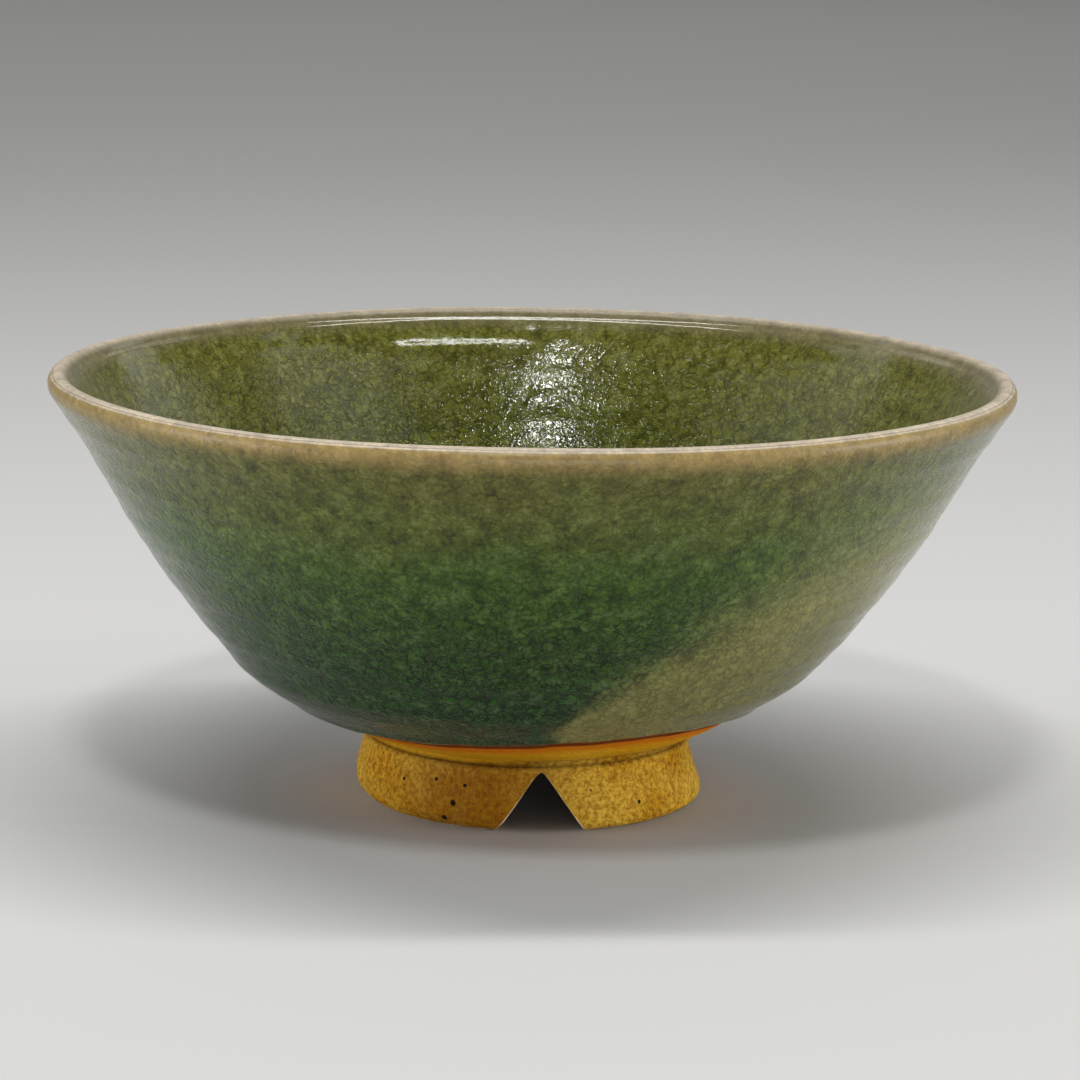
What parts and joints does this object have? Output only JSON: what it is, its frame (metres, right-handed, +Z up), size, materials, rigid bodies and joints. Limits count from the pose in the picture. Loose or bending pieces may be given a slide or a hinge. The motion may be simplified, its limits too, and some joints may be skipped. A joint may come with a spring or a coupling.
{
  "type": "rice bowl",
  "caption": "Round flared rice bowl of glazed stoneware on a short flared foot ring with a V notch, open at the top.",
  "frame": {"origin": "centre of the foot's underside, on the surface that the bowl stands on", "axes": "+Z up along the bowl's axis, -Y towards the V notch in the foot, +X to the right seen from the notch"},
  "size_m": [0.1298, 0.1298, 0.0582],
  "materials": {
    "stoneware": "bare sandy ochre stoneware, matt, with fine grit and iron specks",
    "green_glaze": "glossy translucent green crackle glaze, slightly uneven",
    "rim_glaze": "thin straw-coloured glaze over the lip, satin"
  },
  "bodies": {
    "root": {"clay_body": "stoneware", "foot_ring": "stoneware", "outer_glaze": "green_glaze", "inner_glaze": "green_glaze", "rim_glaze": "rim_glaze"}
  },
  "joints": []
}
